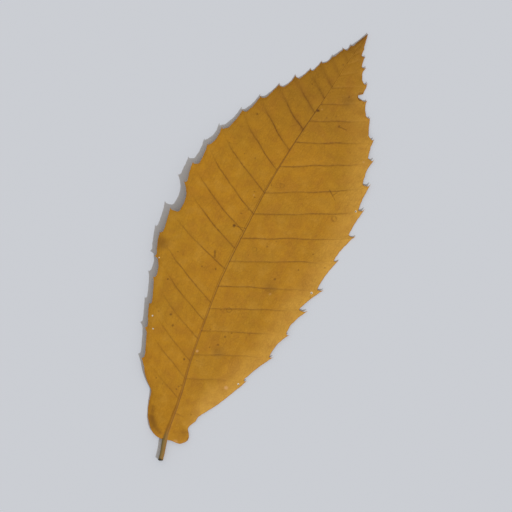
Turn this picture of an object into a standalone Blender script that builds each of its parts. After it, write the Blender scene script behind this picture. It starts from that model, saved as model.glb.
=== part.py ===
"""Sweet chestnut leaf, fallen and dry: blade, midrib, side veins and stem grown as one piece.

Sizes are in millimetres in the tables and become metres when a mesh is placed. The leaf is
first laid out with the stem's cut end at x = 0, y = 0 and its tip on +Y, and is moved at the
end so that the origin is under the middle of its box. The upper face looks up, and the leaf
lies on z = 0 on three small flat spots of its underside.
"""
import math

import bmesh
import bpy
from mathutils import Matrix, Vector

MM = 0.001

# Driving sizes
LEAF_LENGTH = 180.0       # cut end of the stem to the tip
BLADE_BASE = 8.2          # where the blade starts on the midrib
BLADE_THICKNESS = 0.6
SIDE_VEIN_DEPTH = 0.45    # how far a side vein stands below the blade at its foot
QUILTING = 0.22           # rise of the blade between two side veins
EDGE_WAVE = 0.16          # rise and fall of the edge from tooth to tooth
REST_SPOT_RADIUS = 3.2    # each flat spot of the underside
REST_SPOT_FADE = 11.0     # where a spot has run out into the curved blade

# Mesh density
STATIONS = 144            # lines from the midrib to the edge
CROWDING = 0.35           # how much wider the lines stand at the base, and closer at the tip
ROWS = (0.06, 0.21, 0.38, 0.56, 0.74, 0.89, 1.0)   # shares of a line, midrib to edge
BESIDE_VEIN = 0.5         # how far the lines beside a side vein are drawn towards it
LONG_EDGE_LINES = 3       # least number of lines on the long edge of a tooth
RIB_POINTS = 44           # points along the stem and midrib
MERGE = 0.01 * MM         # points closer than this are one

# Midrib seen from above: x for each y
MIDRIB = (
    (0.0, 0.0), (-2.1, 7.8), (-3.1, 15.8), (-4.0, 23.8), (-6.5, 39.0), (-8.4, 55.4),
    (-9.8, 71.5), (-9.7, 97.0), (-8.9, 114.0), (-6.9, 132.0), (-4.2, 150.0),
    (-2.4, 165.0), (-1.1, 172.7), (0.0, 180.0),
)
MIDRIB_RADIUS = (
    (0.9, 0.0), (0.92, 5.0), (1.0, 9.0), (0.8, 20.0), (0.62, 60.0), (0.5, 110.0),
    (0.38, 150.0), (0.32, 180.0),
)
RIB_START = 0.05          # y of the cut end's middle
RIB_SHORT = 3.45          # how far short of the tip the midrib ends
RIB_SINK = 0.85           # depth of the rib's middle below the upper face, in radii

# Height of the upper face above the surface: along the midrib and along each edge
MIDRIB_HEIGHT = (
    (1.8, 0.0), (2.1, 8.0), (2.7, 25.0), (3.3, 60.0), (3.4, 90.0), (3.0, 120.0),
    (2.1, 148.0), (1.4, 168.0), (0.9, 180.0),
)
LEFT_HEIGHT = (
    (1.5, 8.0), (0.7, 16.0), (2.3, 32.0), (2.9, 43.0), (2.9, 52.0), (3.3, 62.0),
    (2.8, 70.0), (3.2, 80.0), (3.6, 90.0), (3.8, 99.0), (2.9, 107.0), (2.6, 115.0),
    (1.9, 124.0), (1.3, 134.0), (0.7, 150.0), (0.8, 168.0), (0.9, 180.0),
)
RIGHT_HEIGHT = (
    (1.5, 8.0), (1.0, 20.0), (0.9, 42.0), (1.3, 60.0), (1.1, 80.0), (0.6, 102.0),
    (1.1, 122.0), (1.3, 140.0), (0.8, 160.0), (0.9, 180.0),
)
HEIGHT_EASE = 1.15        # how the height passes from the midrib's to the edge's
REST_SPOTS = ((-10.6, 15.4), (-15.4, 149.0), (23.6, 101.0))

# Teeth, base to tip. Each row: the y of its vein's foot on the midrib, the bottom of the
# notch behind it, a point half way up its long edge, and the point of its bristle.
LEFT_TEETH = (
    (24.3, (-14.9, 22.7), (-19.5, 26.8), (-22.8, 32.4)),
    (32.2, (-23.3, 34.7), (-25.0, 38.9), (-26.7, 43.3)),
    (39.0, (-27.0, 44.8), (-28.8, 48.4), (-30.2, 52.4)),
    (48.0, (-29.2, 52.6), (-31.0, 57.5), (-32.9, 61.8)),
    (55.3, (-32.1, 62.8), (-33.2, 66.5), (-35.3, 69.5)),
    (62.3, (-36.2, 71.4), (-37.5, 74.9), (-38.3, 78.6)),
    (76.3, (-37.1, 78.8), (-37.8, 83.7), (-38.7, 88.1)),
    (85.0, (-35.1, 88.1), (-35.2, 94.6), (-38.6, 99.5)),
    (91.9, (-37.2, 99.8), (-38.1, 103.8), (-38.5, 107.4)),
    (99.7, (-36.1, 107.7), (-36.1, 112.3), (-36.5, 116.3)),
    (108.8, (-35.1, 116.8), (-34.3, 120.4), (-34.5, 124.3)),
    (118.4, (-32.2, 124.7), (-30.9, 129.0), (-30.1, 133.8)),
    (127.3, (-28.5, 133.5), (-27.1, 137.3), (-26.3, 141.5)),
    (136.5, (-24.5, 141.1), (-23.0, 144.8), (-21.8, 148.5)),
    (144.3, (-20.1, 147.9), (-18.5, 150.8), (-17.8, 154.1)),
    (150.7, (-15.8, 153.4), (-14.6, 156.3), (-13.7, 158.8)),
    (156.0, (-12.6, 158.3), (-11.8, 160.8), (-11.1, 163.2)),
    (161.0, (-10.3, 162.6), (-8.9, 164.5), (-8.2, 167.0)),
    (166.5, (-7.5, 166.9), (-6.5, 169.1), (-5.5, 170.8)),
    (171.0, (-4.4, 170.9), (-4.0, 172.2), (-3.9, 173.7)),
    (180.0, (-2.9, 173.6), (-2.0, 175.9), (0.0, 180.0)),
)
RIGHT_TEETH = (
    (19.0, (3.8, 15.6), (4.5, 17.7), (5.3, 19.1)),
    (32.1, (5.5, 21.4), (11.2, 30.9), (16.1, 41.7)),
    (41.7, (14.9, 41.4), (17.5, 47.5), (21.3, 54.2)),
    (51.0, (19.7, 53.5), (20.5, 59.1), (23.0, 64.3)),
    (59.9, (21.6, 64.5), (22.4, 69.7), (25.3, 75.5)),
    (69.1, (22.0, 74.6), (24.4, 80.2), (27.4, 85.4)),
    (79.4, (25.0, 84.4), (25.6, 90.8), (27.5, 98.0)),
    (89.1, (25.8, 96.9), (26.9, 102.8), (29.3, 109.0)),
    (99.5, (26.6, 108.1), (26.9, 112.9), (27.9, 119.8)),
    (108.6, (25.9, 118.2), (25.5, 123.0), (25.8, 129.2)),
    (120.0, (23.2, 127.6), (22.3, 132.7), (23.0, 138.1)),
    (130.9, (20.6, 137.5), (19.8, 141.1), (19.5, 145.1)),
    (140.5, (16.9, 145.5), (15.6, 148.8), (14.5, 151.8)),
    (148.2, (12.9, 151.7), (11.3, 154.3), (10.7, 157.1)),
    (155.4, (7.2, 156.7), (8.3, 159.4), (7.8, 163.3)),
    (161.0, (6.6, 162.4), (4.8, 165.1), (5.0, 168.3)),
    (165.9, (3.3, 167.7), (2.9, 170.0), (2.9, 171.9)),
    (170.0, (1.5, 171.5), (1.3, 172.6), (1.3, 174.1)),
    (180.0, (0.8, 174.9), (0.5, 177.3), (0.0, 180.0)),
)
# Rounded lobes at the base, from the stem out to the first notch
LEFT_LOBE = (
    (-2.9, 7.9), (-4.9, 7.7), (-7.0, 8.2), (-9.0, 9.6), (-10.8, 11.6), (-12.2, 13.8),
    (-13.5, 17.0), (-14.3, 20.3), (-14.9, 22.7),
)
RIGHT_LOBE = (
    (-1.3, 8.3), (0.2, 8.8), (1.7, 8.7), (3.2, 8.9), (4.6, 9.8), (5.7, 11.2), (5.7, 12.8),
    (4.6, 14.5), (3.8, 15.6),
)
NOTCH_SHARE = 0.3         # where a notch's line starts between two vein feet
TOOTH_HOLLOW = 0.02       # how far the short edge of a tooth sinks, by its length

# How the side veins bend: they leave a little backwards and turn up into the teeth
LEFT_BEND = (math.radians(8.0), math.radians(12.0))
RIGHT_BEND = (math.radians(5.0), math.radians(26.0))
LEAVE_REACH = 0.33        # how far along a line its first bend works, and its last
ARRIVE_REACH = 0.22
VEIN_ROOT = 0.05          # share of a line where its vein has its full depth
VEIN_TAPER = 0.8          # share of that depth which is gone at the edge

LEAF_COLOUR = (0.40, 0.19, 0.022, 1.0)
LEAF_ROUGHNESS = 0.62


def clear_scene():
    for thing in list(bpy.data.objects):
        bpy.data.objects.remove(thing, do_unlink=True)


def mix(a, b, share):
    return a + (b - a) * share


def smoothstep(edge0, edge1, value):
    share = min(max((value - edge0) / (edge1 - edge0), 0.0), 1.0)
    return share * share * (3.0 - 2.0 * share)


def spline(points, at):
    """A smooth curve through points, read at a place counted in points."""
    last = len(points) - 1
    start = min(max(int(at), 0), last - 1)
    share = at - start
    before, a, b, after = (
        Vector(points[min(max(start + step, 0), last)]) for step in (-1, 0, 1, 2))
    slope_a = (b - before) * 0.5
    slope_b = (after - a) * 0.5
    square, cube = share * share, share * share * share
    return (a * (2 * cube - 3 * square + 1) + slope_a * (cube - 2 * square + share)
            + b * (3 * square - 2 * cube) + slope_b * (cube - square))


def along(table, y):
    """The first value of a (value, y) table at y, on a smooth curve."""
    last = len(table) - 1
    for row in range(last):
        if y <= table[row + 1][1] or row == last - 1:
            share = (y - table[row][1]) / (table[row + 1][1] - table[row][1])
            return spline(table, row + min(max(share, 0.0), 1.0)).x


def foot(station):
    """The y at which a line leaves the midrib."""
    share = station / STATIONS
    share += CROWDING * share * (1.0 - share)
    return mix(BLADE_BASE, LEAF_LENGTH, share)


def station_near(y):
    share = (y - BLADE_BASE) / (LEAF_LENGTH - BLADE_BASE)
    rise = 1.0 + CROWDING
    return round(STATIONS * (rise - math.sqrt(rise * rise - 4.0 * CROWDING * share))
                 / (2.0 * CROWDING))


def long_edge(notch, middle, tip, share):
    """The long edge of a tooth: one bow through its middle point."""
    a, m, b = Vector(notch), Vector(middle), Vector(tip)
    pull = m * 2.0 - (a + b) * 0.5
    return a * (1 - share) ** 2 + pull * (2 * share * (1 - share)) + b * share ** 2


def short_edge(tip, notch, share):
    """The short edge behind a bristle, sunk a little between its ends."""
    a, b = Vector(tip), Vector(notch)
    inward = Vector((0.0, -1.0)) * (b - a).length
    return a.lerp(b, share) + inward * (4.0 * TOOTH_HOLLOW * share * (1 - share))


def edge_lines(lobe, teeth):
    """For each station: its point on the edge, and its count of side veins."""
    lines = {}
    veins = [0]
    for number, (vein_foot, notch, middle, tip) in enumerate(teeth):
        if number == 0:
            first = station_near(mix(BLADE_BASE, vein_foot, 1.0 - NOTCH_SHARE))
            for station in range(first + 1):
                share = station / first
                lines[station] = (spline(lobe, share * (len(lobe) - 1)), share - 1.0)
        else:
            before, last_tip = teeth[number - 1][0], teeth[number - 1][3]
            first = max(station_near(mix(before, vein_foot, NOTCH_SHARE)), veins[-1] + 1)
            for station in range(veins[-1] + 1, first + 1):
                share = (station - veins[-1]) / (first - veins[-1])
                phase = number - 1 + NOTCH_SHARE * share
                lines[station] = (short_edge(last_tip, notch, share), phase)
        vein = max(station_near(vein_foot), first + LONG_EDGE_LINES)
        start = lines[first][1]
        for station in range(first + 1, vein + 1):
            share = (station - first) / (vein - first)
            lines[station] = (long_edge(notch, middle, tip, share), mix(start, number, share))
        veins.append(vein)
    return lines, veins[1:-1]


def line_point(start, end, leave, arrive, share):
    """A point on the bent line from the midrib to the edge."""
    chord = end - start
    first = start + Matrix.Rotation(-leave, 2) @ chord * LEAVE_REACH
    second = end - Matrix.Rotation(arrive, 2) @ chord * ARRIVE_REACH
    rest = 1.0 - share
    return (start * rest ** 3 + first * (3 * rest * rest * share)
            + second * (3 * rest * share * share) + end * share ** 3)


def face_heights(place, foot_y, edge_y, table, phase, share, vein_depth):
    """Heights of the upper face and the underside at one point of the blade."""
    top = mix(along(MIDRIB_HEIGHT, foot_y), along(table, edge_y), share ** HEIGHT_EASE)
    top += QUILTING * math.sin(math.pi * share) * math.sin(math.pi * (phase % 1.0))
    top += EDGE_WAVE * share ** 3 * math.sin(2 * math.pi * phase)
    under = top - BLADE_THICKNESS
    reach = min((place - Vector(spot)).length for spot in REST_SPOTS)
    free = smoothstep(REST_SPOT_RADIUS, REST_SPOT_FADE, reach)
    under = max(under, 0.0) * free
    return under + BLADE_THICKNESS, max(under - vein_depth * free, 0.0)


def blade_points():
    """The blade's points by station and row: place, upper height and underside height."""
    points = {}
    sides = ((-1, LEFT_LOBE, LEFT_TEETH, LEFT_BEND, LEFT_HEIGHT),
             (1, RIGHT_LOBE, RIGHT_TEETH, RIGHT_BEND, RIGHT_HEIGHT))
    for side, lobe, teeth, bend, table in sides:
        lines, veins = edge_lines(lobe, teeth)
        flat = {}
        for station in range(STATIONS + 1):
            start = Vector((along(MIDRIB, foot(station)), foot(station)))
            end, phase = lines[station]
            in_lobe = min(max(phase + 1.0, 0.0), 1.0)
            leave, arrive = (angle * side * in_lobe for angle in bend)
            for row, share in enumerate((0.0,) + ROWS):
                flat[station, row] = line_point(start, end, leave, arrive, share)
        for vein in veins:
            for row, share in enumerate(ROWS[:-1], start=1):
                draw = BESIDE_VEIN * (1.0 - share * share)
                for beside in (vein - 1, vein + 1):
                    flat[beside, row] = flat[beside, row].lerp(flat[vein, row], draw)
        for (station, row), place in flat.items():
            share = ((0.0,) + ROWS)[row]
            end, phase = lines[station]
            depth = SIDE_VEIN_DEPTH * (1.0 - VEIN_TAPER * share) if station in veins else 0.0
            heights = face_heights(place, foot(station), end.y, table, phase, share,
                                   depth * min(share / VEIN_ROOT, 1.0))
            points[station, side * row] = (place, *heights)
    return points


def build_blade():
    """A grid laid over the leaf, split into triangles and then given its thickness."""
    points = blade_points()
    rows = len(ROWS)
    bm = bmesh.new()
    bmesh.ops.create_grid(bm, x_segments=2 * rows, y_segments=STATIONS, size=1.0)
    drop = bm.verts.layers.float.new("drop")
    for vert in bm.verts:
        row = round(vert.co.x * rows)
        station = round((vert.co.y + 1.0) * 0.5 * STATIONS)
        place, top, under = points[station, row]
        vert.co = Vector((place.x, place.y, top)) * MM
        vert[drop] = (top - under) * MM
    bmesh.ops.remove_doubles(bm, verts=bm.verts[:], dist=MERGE)
    bmesh.ops.triangulate(bm, faces=bm.faces[:])
    sheet = bmesh.ops.extrude_face_region(bm, geom=bm.faces[:])
    for vert in sheet["geom"]:
        if isinstance(vert, bmesh.types.BMVert):
            vert.co.z -= vert[drop]
    bmesh.ops.recalc_face_normals(bm, faces=bm.faces[:])
    mesh = bpy.data.meshes.new("leaf")
    bm.to_mesh(mesh)
    bm.free()
    return mesh


def build_rib():
    """Stem and midrib: one tapered round rod that stands mostly below the blade."""
    curve = bpy.data.curves.new("rib", "CURVE")
    curve.dimensions = "3D"
    curve.bevel_depth = MM
    curve.bevel_resolution = 2
    curve.use_fill_caps = True
    line = curve.splines.new("POLY")
    line.points.add(RIB_POINTS - 1)
    for number, point in enumerate(line.points):
        y = mix(RIB_START, LEAF_LENGTH - RIB_SHORT, number / (RIB_POINTS - 1))
        radius = along(MIDRIB_RADIUS, y)
        height = along(MIDRIB_HEIGHT, y) - radius * RIB_SINK
        point.co = (along(MIDRIB, y) * MM, y * MM, height * MM, 1.0)
        point.radius = radius
    rod = bpy.data.objects.new("rib", curve)
    bpy.context.scene.collection.objects.link(rod)
    bpy.context.view_layer.update()
    solid = bpy.data.meshes.new_from_object(rod.evaluated_get(
        bpy.context.evaluated_depsgraph_get()))
    bpy.data.objects.remove(rod, do_unlink=True)
    bm = bmesh.new()
    bm.from_mesh(solid)
    bmesh.ops.remove_doubles(bm, verts=bm.verts[:], dist=MERGE)
    bmesh.ops.triangulate(bm, faces=bm.faces[:])
    bmesh.ops.recalc_face_normals(bm, faces=bm.faces[:])
    bm.to_mesh(solid)
    bm.free()
    return solid


def leaf_material():
    material = bpy.data.materials.new("dry leaf")
    material.use_nodes = True
    shader = material.node_tree.nodes["Principled BSDF"]
    shader.inputs["Base Color"].default_value = LEAF_COLOUR
    shader.inputs["Roughness"].default_value = LEAF_ROUGHNESS
    shader.inputs["Metallic"].default_value = 0.0
    return material


def join(leaf, rib):
    """Unite the rib with the blade and keep one closed body."""
    cutters = bpy.data.collections.new("joined")
    bpy.context.scene.collection.children.link(cutters)
    rod = bpy.data.objects.new("rib", rib)
    cutters.objects.link(rod)
    union = leaf.modifiers.new("rib", "BOOLEAN")
    union.operation = "UNION"
    union.object = rod
    bpy.context.view_layer.update()
    joined = bpy.data.meshes.new_from_object(leaf.evaluated_get(
        bpy.context.evaluated_depsgraph_get()))
    leaf.modifiers.clear()
    leaf.data = joined
    bpy.data.objects.remove(rod, do_unlink=True)
    bpy.data.collections.remove(cutters)


def centre(mesh):
    """Put the origin under the middle of the leaf's box."""
    xs = [vert.co.x for vert in mesh.vertices]
    ys = [vert.co.y for vert in mesh.vertices]
    shift = Vector(((min(xs) + max(xs)) / 2, (min(ys) + max(ys)) / 2, 0.0))
    mesh.transform(Matrix.Translation(-shift))


def main():
    clear_scene()
    collection = bpy.data.collections.new("sweet chestnut leaf")
    bpy.context.scene.collection.children.link(collection)
    leaf = bpy.data.objects.new("leaf", build_blade())
    collection.objects.link(leaf)
    join(leaf, build_rib())
    centre(leaf.data)
    leaf.data.materials.clear()
    leaf.data.materials.append(leaf_material())


main()
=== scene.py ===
"""Sweet chestnut leaf: the fine leaf that stands for the plain solid, its finish, and the stage.

The leaf is laid out in millimetres, as in its source: the stem's cut end is at x = 0, y = 0 and
the tip is on +Y. It is moved into the frame's place when its mesh is made. A line runs from the
midrib to the edge, and its phase counts the side veins: it is a whole number on a vein.
"""

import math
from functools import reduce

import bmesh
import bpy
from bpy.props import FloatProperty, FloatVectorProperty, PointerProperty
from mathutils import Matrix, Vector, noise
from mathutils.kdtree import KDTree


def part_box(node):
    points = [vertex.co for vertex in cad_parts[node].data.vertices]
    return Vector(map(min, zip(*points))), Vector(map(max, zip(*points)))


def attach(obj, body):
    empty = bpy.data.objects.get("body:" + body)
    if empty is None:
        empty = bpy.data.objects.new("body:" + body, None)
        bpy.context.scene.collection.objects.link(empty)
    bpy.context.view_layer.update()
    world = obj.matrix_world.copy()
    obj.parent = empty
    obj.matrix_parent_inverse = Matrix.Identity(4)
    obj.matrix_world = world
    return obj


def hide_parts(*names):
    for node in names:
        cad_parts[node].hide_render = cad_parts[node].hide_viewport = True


bl_info = {
    "name": "Sweet Chestnut Leaf",
    "version": (1, 0, 0),
    "blender": (4, 5, 0),
    "location": "View3D > Sidebar > Leaf",
    "description": "Models a dry sweet chestnut leaf and the plain stage that it lies on",
    "category": "Object",
}

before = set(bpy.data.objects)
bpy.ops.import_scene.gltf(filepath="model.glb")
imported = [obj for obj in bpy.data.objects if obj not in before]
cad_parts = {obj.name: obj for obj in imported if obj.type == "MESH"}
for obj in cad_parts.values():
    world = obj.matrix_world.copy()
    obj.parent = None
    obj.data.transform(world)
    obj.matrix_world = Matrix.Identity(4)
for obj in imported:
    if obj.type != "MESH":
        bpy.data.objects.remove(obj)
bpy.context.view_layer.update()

MM = 0.001

# Form shared with the solid
LEAF_LENGTH = 180.0        # cut end of the stem to the tip
BLADE_BASE = 8.2           # where the blade starts on the midrib
SOLID_THICKNESS = 0.6      # the solid's blade, whose underside this leaf keeps
HEIGHT_EASE = 1.15         # how the height passes from the midrib's to the edge's
RIB_SINK = 0.85            # depth of the midrib's middle below the upper face, in radii
REST_SPOT_RADIUS = 3.2     # each flat spot of the underside
REST_SPOT_FADE = 11.0      # where a spot has run out into the curved blade
CROWDING = 0.35            # how much wider the lines stand at the base, and closer at the tip
NOTCH_SHARE = 0.3          # where a notch's line starts between two vein feet
LEAVE_REACH = 0.33         # how far along a line its first bend works, and its last
ARRIVE_REACH = 0.22

# Mesh density
STATIONS = 600             # lines from the midrib to the edge, on each half
RIB_ROWS = 7               # rows beside the midrib, evenly spaced
BLADE_ROWS = 31            # rows from there to the edge
ROWS = RIB_ROWS + BLADE_ROWS
RIB_REACH = 2.0            # where the rib's rows end, in radii of the midrib
LONGEST_REACH = 0.4        # and at most this share of a line
EDGE_CROWDING = 1.4        # power by which the rows crowd towards the edge
VEIN_CLUSTER = 3           # lines on each side of a vein that are drawn to it
VEIN_DRAW = 0.45           # how far the nearest of them is drawn
LOBE_TOP = 32.0            # y at the midrib below which the lines fan out into the lobes
LOBE_SPREAD = 1.6          # how much wider they stand there than at the midrib
HALVES_APART = 300.0       # between the net of small veins of one half and of the other
VEIN_WINDOW = 60           # lines on each side of a vein on which its distance is measured
FAR = 20.0                 # stands for any longer distance from a vein or an edge
MERGE = 0.002 * MM         # points closer than this are one

# Midrib seen from above: x for each y
MIDRIB = (
    (0.0, 0.0), (-2.1, 7.8), (-3.1, 15.8), (-4.0, 23.8), (-6.5, 39.0), (-8.4, 55.4),
    (-9.8, 71.5), (-9.7, 97.0), (-8.9, 114.0), (-6.9, 132.0), (-4.2, 150.0),
    (-2.4, 165.0), (-1.1, 172.7), (0.0, 180.0),
)
MIDRIB_RADIUS = (
    (0.9, 0.0), (0.92, 5.0), (1.0, 9.0), (0.8, 20.0), (0.62, 60.0), (0.5, 110.0),
    (0.38, 150.0), (0.32, 180.0),
)

# Height of the solid's upper face: along the midrib and along each edge
MIDRIB_HEIGHT = (
    (1.8, 0.0), (2.1, 8.0), (2.7, 25.0), (3.3, 60.0), (3.4, 90.0), (3.0, 120.0),
    (2.1, 148.0), (1.4, 168.0), (0.9, 180.0),
)
LEFT_HEIGHT = (
    (1.5, 8.0), (0.7, 16.0), (2.3, 32.0), (2.9, 43.0), (2.9, 52.0), (3.3, 62.0),
    (2.8, 70.0), (3.2, 80.0), (3.6, 90.0), (3.8, 99.0), (2.9, 107.0), (2.6, 115.0),
    (1.9, 124.0), (1.3, 134.0), (0.7, 150.0), (0.8, 168.0), (0.9, 180.0),
)
RIGHT_HEIGHT = (
    (1.5, 8.0), (1.0, 20.0), (0.9, 42.0), (1.3, 60.0), (1.1, 80.0), (0.6, 102.0),
    (1.1, 122.0), (1.3, 140.0), (0.8, 160.0), (0.9, 180.0),
)
REST_SPOTS = ((-10.6, 15.4), (-15.4, 149.0), (23.6, 101.0))

# Teeth, base to tip. Each row: the y of its vein's foot on the midrib, the bottom of the
# notch behind it, a point half way up its long edge, and the point of its bristle.
LEFT_TEETH = (
    (24.3, (-14.9, 22.7), (-19.5, 26.8), (-22.8, 32.4)),
    (32.2, (-23.3, 34.7), (-25.0, 38.9), (-26.7, 43.3)),
    (39.0, (-27.0, 44.8), (-28.8, 48.4), (-30.2, 52.4)),
    (48.0, (-29.2, 52.6), (-31.0, 57.5), (-32.9, 61.8)),
    (55.3, (-32.1, 62.8), (-33.2, 66.5), (-35.3, 69.5)),
    (62.3, (-36.2, 71.4), (-37.5, 74.9), (-38.3, 78.6)),
    (76.3, (-37.1, 78.8), (-37.8, 83.7), (-38.7, 88.1)),
    (85.0, (-35.1, 88.1), (-35.2, 94.6), (-38.6, 99.5)),
    (91.9, (-37.2, 99.8), (-38.1, 103.8), (-38.5, 107.4)),
    (99.7, (-36.1, 107.7), (-36.1, 112.3), (-36.5, 116.3)),
    (108.8, (-35.1, 116.8), (-34.3, 120.4), (-34.5, 124.3)),
    (118.4, (-32.2, 124.7), (-30.9, 129.0), (-30.1, 133.8)),
    (127.3, (-28.5, 133.5), (-27.1, 137.3), (-26.3, 141.5)),
    (136.5, (-24.5, 141.1), (-23.0, 144.8), (-21.8, 148.5)),
    (144.3, (-20.1, 147.9), (-18.5, 150.8), (-17.8, 154.1)),
    (150.7, (-15.8, 153.4), (-14.6, 156.3), (-13.7, 158.8)),
    (156.0, (-12.6, 158.3), (-11.8, 160.8), (-11.1, 163.2)),
    (161.0, (-10.3, 162.6), (-8.9, 164.5), (-8.2, 167.0)),
    (166.5, (-7.5, 166.9), (-6.5, 169.1), (-5.5, 170.8)),
    (171.0, (-4.4, 170.9), (-4.0, 172.2), (-3.9, 173.7)),
    (180.0, (-2.9, 173.6), (-2.0, 175.9), (0.0, 180.0)),
)
RIGHT_TEETH = (
    (19.0, (3.8, 15.6), (4.5, 17.7), (5.3, 19.1)),
    (32.1, (5.5, 21.4), (11.2, 30.9), (16.1, 41.7)),
    (41.7, (14.9, 41.4), (17.5, 47.5), (21.3, 54.2)),
    (51.0, (19.7, 53.5), (20.5, 59.1), (23.0, 64.3)),
    (59.9, (21.6, 64.5), (22.4, 69.7), (25.3, 75.5)),
    (69.1, (22.0, 74.6), (24.4, 80.2), (27.4, 85.4)),
    (79.4, (25.0, 84.4), (25.6, 90.8), (27.5, 98.0)),
    (89.1, (25.8, 96.9), (26.9, 102.8), (29.3, 109.0)),
    (99.5, (26.6, 108.1), (26.9, 112.9), (27.9, 119.8)),
    (108.6, (25.9, 118.2), (25.5, 123.0), (25.8, 129.2)),
    (120.0, (23.2, 127.6), (22.3, 132.7), (23.0, 138.1)),
    (130.9, (20.6, 137.5), (19.8, 141.1), (19.5, 145.1)),
    (140.5, (16.9, 145.5), (15.6, 148.8), (14.5, 151.8)),
    (148.2, (12.9, 151.7), (11.3, 154.3), (10.7, 157.1)),
    (155.4, (7.2, 156.7), (8.3, 159.4), (7.8, 163.3)),
    (161.0, (6.6, 162.4), (4.8, 165.1), (5.0, 168.3)),
    (165.9, (3.3, 167.7), (2.9, 170.0), (2.9, 171.9)),
    (170.0, (1.5, 171.5), (1.3, 172.6), (1.3, 174.1)),
    (180.0, (0.8, 174.9), (0.5, 177.3), (0.0, 180.0)),
)
LEFT_LOBE = (
    (-2.9, 7.9), (-4.9, 7.7), (-7.0, 8.2), (-9.0, 9.6), (-10.8, 11.6), (-12.2, 13.8),
    (-13.5, 17.0), (-14.3, 20.3), (-14.9, 22.7),
)
RIGHT_LOBE = (
    (-1.3, 8.3), (0.2, 8.8), (1.7, 8.7), (3.2, 8.9), (4.6, 9.8), (5.7, 11.2), (5.7, 12.8),
    (4.6, 14.5), (3.8, 15.6),
)
# How a side vein bends: its angles at the midrib and at the edge, and its wave between them.
# The bends change between two heights on the midrib.
LEFT_BENDS = {"base": (0.0, math.radians(2.0), 0.0),
              "tip": (math.radians(8.0), math.radians(12.0), 0.0), "from": 24.0, "to": 50.0}
RIGHT_BENDS = {"base": (math.radians(-2.0), math.radians(-4.0), 0.0),
               "tip": (math.radians(5.0), math.radians(20.0), 0.018), "from": 50.0, "to": 112.0}
VEIN_SWAY = 0.5            # small random bends of the side veins
SWAY_GRAIN = (0.16, 7.0)   # how many there are for each millimetre, and their level of noise
SWAY_LENGTHS = (2.0, 12.0)   # a line up to the first length has none, from the second on all
NOISE_SEED = 5             # keeps the random bends the same in each run

# Edge of each half: length of the bristle on a tooth, hollow of the short edge behind it, and
# reach of a tooth that has no notch behind it
LEFT_CUT = {"bristle": 0.8, "hollow": 0.05, "spur": 0.9}
RIGHT_CUT = {"bristle": 0.7, "hollow": 0.2, "spur": 0.0}
HOLLOW_PLACE = 0.35        # where on the short edge its hollow is deepest
BLUNT_TURN = (0.2, 0.9)    # how straight an edge runs on at a tooth with a full and with no bristle
BRISTLE_LINES = ((-2, 0.15), (-1, 0.5), (0, 1.0), (1, 0.5), (2, 0.15))
BRISTLE_DEPTH = 0.3        # how far inside the edge a bristle starts
EDGE_ROUGHNESS = 0.16      # how far the worn edge strays
EDGE_GRAIN = (0.9, 4.0)    # how finely, in the same way as SWAY_GRAIN
SMOOTH_TIP = 20.0          # lines before the tip on which that fades

# Relief of the blade
EDGE_THINNESS = 0.6        # thickness at the very edge, as a share of the blade's
THIN_WIDTH = 1.0           # how far inside the edge it is full
CRINKLES = ((0.09, 1.0, 1.0), (0.22, 0.5, 2.0))   # bends for each millimetre, strength and level
CRINKLE_LENGTH = 6.0       # a shorter line has weaker crinkles
CRINKLE_START = 3.0        # how far out from the midrib they are full
VEIN_TAPER = 0.8           # share of a side vein's relief which is gone at the edge
VEIN_END = 1.5             # how far inside the edge the rest of it begins to fade
VEIN_WIDTHS = (0.42, 0.25)   # half a side vein's width, at the midrib and at the edge
GROOVE_WIDTH = 0.3         # half the width of the groove above it
RIDGE_BASE = 30.0          # y below which the midrib's ridge grows towards the stem
RIDGE_HEIGHTS = (1.0, 3.5)   # its height above and at the stem, in midrib_ridge
RIDGE_WIDTHS = (0.35, 0.7)   # half its width there, in radii
TROUGH_PLACES = (0.65, 1.2)  # how far out the shallow troughs beside it are, in radii
TROUGH_WIDTH = 0.2         # half the width of a trough, in radii
TROUGH_DEPTH = 0.3         # its depth, in midrib_ridge

# Stem
STEM_SIDES = 24
STEM_RINGS = 70
STEM_REACH = 15.0          # where the stem has sunk into the midrib
STEM_SINK = 6.0            # where it begins to sink
STEM_TAPER = 0.55          # share of its radius which is gone where it has sunk
STEM_BUMPS = 0.05          # its uneven surface, as a share of its radius
STEM_FURROW = (0.10, 0.4)    # depth of the furrow along its top, as such a share, and half width
STEM_LEAN = (0.27, 5.0)      # how far its end stands to the left, and y up to which it leans
CUT_SLANT = (0.5, 2.0)       # how much shorter its right side is, and y up to which this works
CUT_RIM = 0.25             # width of each of the two rings of the cut end
CUT_HOLLOW = 0.15          # depth of the hollow inside them
BARK_LENGTH = (7.0, 14.0)    # y at which its colour begins to fade into the midrib's, and ends
BARK_WIDTH = (0.5, 1.1)      # and the same across, out from the midrib

# Bites out of the edge, and through holes: place and radius
BITES = (((8.0, 157.5), 1.15),)
PINHOLES = (
    ((25.2, 117.4), 0.2), ((23.6, 82.3), 0.24), ((13.7, 39.1), 0.2), ((-26.8, 48.3), 0.18),
    ((-24.5, 44.0), 0.16), ((-34.2, 69.2), 0.14),
)

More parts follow.
